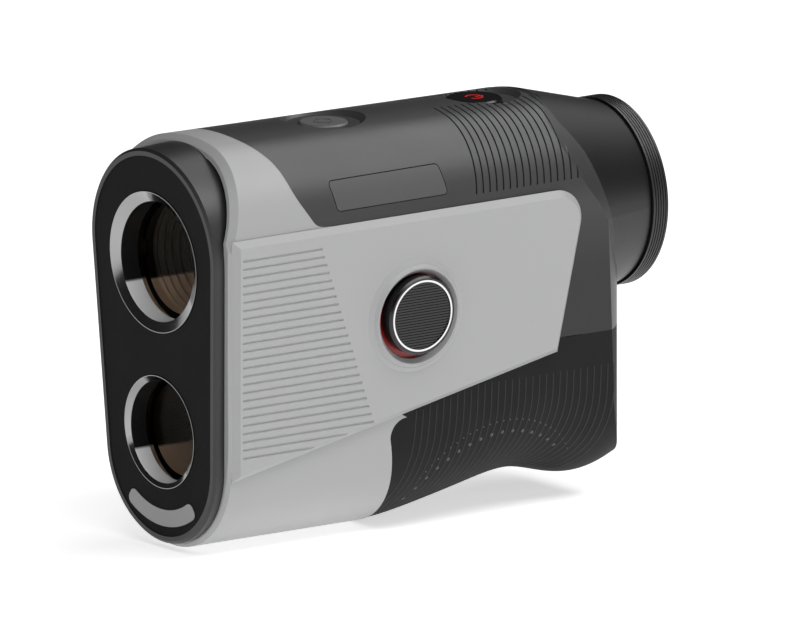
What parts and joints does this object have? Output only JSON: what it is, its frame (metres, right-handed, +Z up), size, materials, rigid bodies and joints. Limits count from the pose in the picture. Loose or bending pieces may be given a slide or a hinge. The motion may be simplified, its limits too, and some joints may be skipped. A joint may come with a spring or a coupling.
{
  "type": "handheld laser rangefinder",
  "caption": "Handheld laser rangefinder: a monocular in an upright case with a laser emitter under its objective, a sliding side knob, crown buttons and a turning eyepiece ring.",
  "frame": {"origin": "on the optical axis, at the mouth of the cylindrical bore in front of the objective lens", "axes": "+X to the right-hand side (the side with the sliding knob), +Y from the objective to the eyepiece, +Z up"},
  "size_m": [0.0453, 0.1049, 0.0759],
  "materials": {
    "silver_paint": "satin silver paint on moulded plastic",
    "dark_case": "satin dark grey moulding",
    "grip_rubber": "ribbed soft overmoulding",
    "bezel_plastic": "satin",
    "panel_black": "fine-grained",
    "polished_ring": "polished",
    "bare_metal": "satin",
    "label_film": "smooth",
    "coated_glass": "coated",
    "clear_glass": "polished",
    "black_anodised": "black anodised",
    "steel": "zinc plated",
    "circuit_board": "solder mask",
    "inner_plastic": "glass filled",
    "black_epoxy": "moulded",
    "red_plastic": "glossy",
    "cell_wrap": "printed sleeve",
    "contact_brass": "plated",
    "black_gloss": "glossy",
    "bright_ring": "polished",
    "grey_button": "satin",
    "dark_ring": "knurled",
    "soft_rubber": "matt"
  },
  "bodies": {
    "case": {"front_housing": "silver_paint", "side_panel_left": "silver_paint", "side_panel_right": "silver_paint", "upper_case": "dark_case", "lower_grip": "grip_rubber", "front_bezel": "bezel_plastic", "front_panel": "panel_black", "objective_ring": "polished_ring", "emitter_ring": "polished_ring", "front_badge": "bare_metal", "label_plate": "label_film", "objective_lens": "coated_glass", "emitter_lens": "coated_glass", "reticle": "clear_glass", "front_prism": "clear_glass", "rear_prism": "clear_glass", "objective_retainer": "black_anodised", "objective_barrel": "black_anodised", "emitter_barrel": "black_anodised", "eyepiece_tube": "black_anodised", "laser_module": "steel", "emitter_board": "circuit_board", "front_bulkhead": "inner_plastic", "mid_bulkhead": "inner_plastic", "prism_cage": "inner_plastic", "main_board": "circuit_board", "main_chips": "black_epoxy", "button_board": "circuit_board", "board_screws": "steel", "cage_screws": "steel", "tact_switches": "black_epoxy", "receiver_board": "circuit_board", "receiver_sensor": "steel", "slope_flag": "red_plastic", "slide_switch": "black_epoxy", "switch_board": "circuit_board", "battery_tube": "inner_plastic", "battery": "cell_wrap", "battery_contact": "contact_brass"},
    "knob_body": {"knob": "black_gloss", "knob_ring": "bright_ring", "switch_slider": "black_gloss"},
    "mode_button_body": {"mode_button": "grey_button"},
    "power_button_body": {"power_button": "black_gloss"},
    "dioptre_body": {"dioptre_ring": "dark_ring", "eyecup": "soft_rubber", "eye_lens": "clear_glass"},
    "battery_cap_body": {"battery_cap": "inner_plastic", "cap_seal": "soft_rubber"}
  },
  "joints": [
    {"name": "slope_slide", "type": "slide", "parent": "case", "child": "knob_body", "axis": [0.0599, 0, 0.9982], "range_m": [-0.0008, 0]},
    {"name": "mode_press", "type": "slide", "parent": "case", "child": "mode_button_body", "axis": [0, 0, -1], "range_m": [0, 0.0006], "stiffness_N_per_m": 800, "springref_m": -0.0003},
    {"name": "power_press", "type": "slide", "parent": "case", "child": "power_button_body", "axis": [0, 0, -1], "range_m": [0, 0.0006], "stiffness_N_per_m": 800, "springref_m": -0.0003},
    {"name": "dioptre_turn", "type": "hinge", "parent": "case", "child": "dioptre_body", "pos_m": [0, 0.1, 0], "axis": [0, 1, 0], "range_deg": [-60, 60]},
    {"name": "cap_turn", "type": "hinge", "parent": "case", "child": "battery_cap_body", "pos_m": [0, 0.095, -0.033], "axis": [0, 1, 0], "range_deg": [0, 90]}
  ]
}
